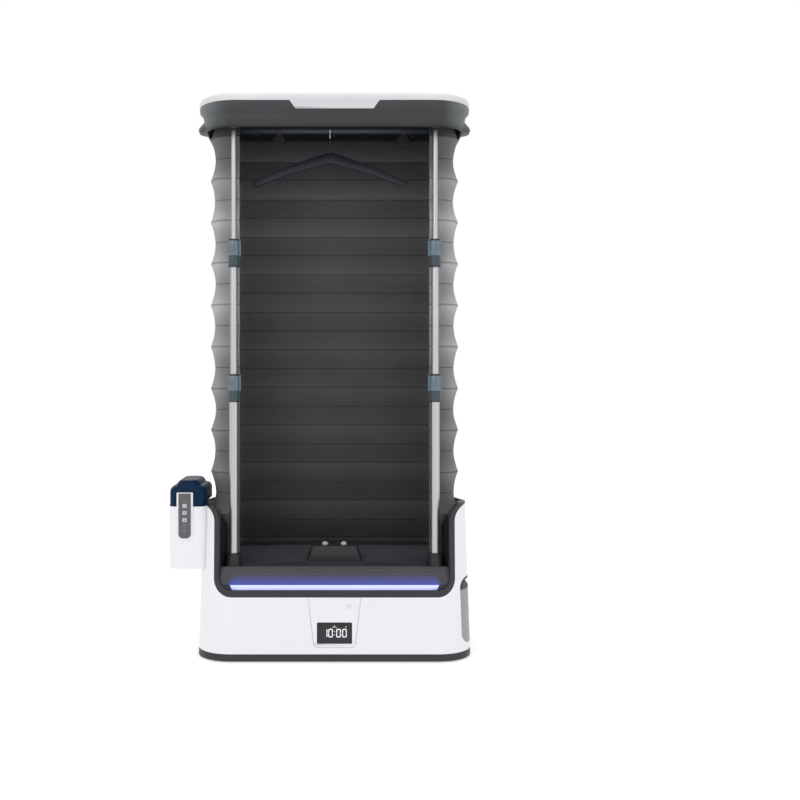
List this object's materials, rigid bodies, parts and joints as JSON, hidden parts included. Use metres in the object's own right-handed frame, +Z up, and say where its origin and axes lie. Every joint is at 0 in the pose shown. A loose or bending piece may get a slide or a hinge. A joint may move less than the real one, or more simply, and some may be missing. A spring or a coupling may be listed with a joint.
{
  "type": "clothes care steam cabinet",
  "caption": "Free-standing clothes care steam cabinet: low base with boiler and fan, telescopic poles, lowering lid with hanging rail, pleated fabric wall, water tank and waste drawer.",
  "frame": {"origin": "on the floor under the middle of the base, at the centre foot's underside", "axes": "+X to the right seen from the front, the open front faces -Y, +Z up"},
  "size_m": [0.7734, 0.42, 1.425],
  "materials": {
    "white_plastic": "satin white plastic",
    "light_grey_plastic": "satin light grey plastic",
    "dark_plastic": "fine-grained dark grey plastic",
    "inner_plastic": "grey plastic",
    "black_gloss": "glossy black plastic",
    "light_bar": "frosted light diffuser",
    "teal_plastic": "translucent blue-green plastic",
    "clear_plastic": "clear plastic, lightly tinted",
    "rubber": "soft rubber",
    "silicone": "milky silicone",
    "pole_aluminium": "brushed aluminium",
    "cast_aluminium": "cast and blasted",
    "steel": "bright steel",
    "black_enamel": "black powder coat",
    "fabric": "coated pleated fabric",
    "circuit_board": "coated circuit board",
    "lamp_board": "white solder-mask board"
  },
  "bodies": {
    "base": {"bottom_tray": "dark_plastic", "rubber_feet": "rubber", "base_shell": "white_plastic", "rim_frame": "dark_plastic", "side_liners": "black_gloss", "deck": "inner_plastic", "pole_sockets": "dark_plastic", "led_bar": "light_bar", "led_strip": "lamp_board", "control_panel": "light_grey_plastic", "display_window": "black_gloss", "pod_shell": "white_plastic", "control_strip": "black_gloss", "tank_seat": "inner_plastic", "bellows": "fabric", "bellows_bottom_rail": "dark_plastic", "boiler": "cast_aluminium", "boiler_cover": "cast_aluminium", "heating_ring": "steel", "nozzle_housing": "inner_plastic", "steam_nozzles": "inner_plastic", "fan_housing": "inner_plastic", "fan_motor": "black_enamel", "air_heater": "cast_aluminium", "air_duct": "inner_plastic", "water_pump": "black_enamel", "hoses": "silicone", "main_board": "circuit_board", "rear_cover": "dark_plastic", "mains_inlet": "dark_plastic", "rear_screws": "steel"},
    "lid": {"lid_frame": "dark_plastic", "lid_top": "white_plastic", "lid_ceiling": "inner_plastic", "hanging_rail": "black_enamel", "upper_tubes": "pole_aluminium", "bellows_top_rail": "dark_plastic"},
    "middle_stage": {"middle_tubes": "pole_aluminium", "upper_collars": "dark_plastic"},
    "lower_stage": {"lower_tubes": "pole_aluminium", "lower_collars": "dark_plastic"},
    "lower_lever_right": {"lower_lever_right": "teal_plastic"},
    "lower_lever_left": {"lower_lever_left": "teal_plastic"},
    "upper_lever_right": {"upper_lever_right": "teal_plastic"},
    "upper_lever_left": {"upper_lever_left": "teal_plastic"},
    "water_tank": {"water_tank": "clear_plastic"},
    "tank_cap": {"tank_cap": "teal_plastic"},
    "tank_valve": {"tank_valve": "rubber"},
    "waste_drawer": {"drawer_front": "light_grey_plastic", "drawer_grip": "dark_plastic", "drawer_tub": "clear_plastic"},
    "power_button": {"power_button": "inner_plastic"},
    "mode_button_top": {"mode_button_top": "black_gloss"},
    "mode_button_middle": {"mode_button_middle": "black_gloss"},
    "mode_button_bottom": {"mode_button_bottom": "black_gloss"},
    "fan_wheel": {"fan_wheel": "dark_plastic"},
    "rail_clip_left": {"rail_clip_left": "dark_plastic"},
    "rail_clip_right": {"rail_clip_right": "dark_plastic"},
    "hanger": {"hanger_hook": "steel", "hanger_body": "black_gloss"}
  },
  "joints": [
    {"name": "lid_slide", "type": "slide", "parent": "base", "child": "lid", "axis": [0, 0, 1], "range_m": [-0.737, 0], "deforming": ["bellows"]},
    {"name": "middle_slide", "type": "slide", "parent": "base", "child": "middle_stage", "axis": [0, 0, 1], "range_m": [-0.465, 0]},
    {"name": "lower_slide", "type": "slide", "parent": "base", "child": "lower_stage", "axis": [0, 0, 1], "range_m": [-0.195, 0]},
    {"name": "lower_lever_right_hinge", "type": "hinge", "parent": "lower_stage", "child": "lower_lever_right", "pos_m": [0.24174, -0.152, 0.6987], "axis": [0, 0, 1], "range_deg": [-100, 0]},
    {"name": "upper_lever_right_hinge", "type": "hinge", "parent": "middle_stage", "child": "upper_lever_right", "pos_m": [0.24174, -0.152, 1.0427], "axis": [0, 0, 1], "range_deg": [-100, 0]},
    {"name": "lower_lever_left_hinge", "type": "hinge", "parent": "lower_stage", "child": "lower_lever_left", "pos_m": [-0.24174, -0.152, 0.6987], "axis": [0, 0, -1], "range_deg": [-100, 0]},
    {"name": "upper_lever_left_hinge", "type": "hinge", "parent": "middle_stage", "child": "upper_lever_left", "pos_m": [-0.24174, -0.152, 1.0427], "axis": [0, 0, -1], "range_deg": [-100, 0]},
    {"name": "tank_lift", "type": "slide", "parent": "base", "child": "water_tank", "axis": [0, 0, 1], "range_m": [0, 0.17]},
    {"name": "tank_cap_lift", "type": "slide", "parent": "water_tank", "child": "tank_cap", "axis": [0, 0, 1], "range_m": [0, 0.06]},
    {"name": "tank_valve_slide", "type": "slide", "parent": "water_tank", "child": "tank_valve", "axis": [0, 0, 1], "range_m": [0, 0.004], "stiffness_N_per_m": 400},
    {"name": "waste_drawer_slide", "type": "slide", "parent": "base", "child": "waste_drawer", "axis": [1, 0, 0], "range_m": [0, 0.18]},
    {"name": "power_button_press", "type": "slide", "parent": "base", "child": "power_button", "axis": [0, 1, 0], "range_m": [0, 0.002], "stiffness_N_per_m": 400},
    {"name": "mode_button_top_press", "type": "slide", "parent": "base", "child": "mode_button_top", "axis": [0, 1, 0], "range_m": [0, 0.0014], "stiffness_N_per_m": 400},
    {"name": "mode_button_middle_press", "type": "slide", "parent": "base", "child": "mode_button_middle", "axis": [0, 1, 0], "range_m": [0, 0.0014], "stiffness_N_per_m": 400},
    {"name": "mode_button_bottom_press", "type": "slide", "parent": "base", "child": "mode_button_bottom", "axis": [0, 1, 0], "range_m": [0, 0.0014], "stiffness_N_per_m": 400},
    {"name": "fan_spin", "type": "hinge", "parent": "base", "child": "fan_wheel", "pos_m": [0.158, 0.112, 0.118], "axis": [0, 0, 1], "continuous": true},
    {"name": "rail_clip_left_slide", "type": "slide", "parent": "lid", "child": "rail_clip_left", "axis": [1, 0, 0], "range_m": [-0.12, 0.1]},
    {"name": "rail_clip_right_slide", "type": "slide", "parent": "lid", "child": "rail_clip_right", "axis": [1, 0, 0], "range_m": [-0.15, 0.085]},
    {"name": "hanger_swing", "type": "hinge", "parent": "lid", "child": "hanger", "pos_m": [-0.012, 0, 1.383], "axis": [1, 0, 0], "range_deg": [-15, 15]}
  ],
  "couplings": [
    {"joint": "middle_slide", "follows": "lid_slide", "ratio": 0.63094},
    {"joint": "lower_slide", "follows": "lid_slide", "ratio": 0.26459}
  ]
}
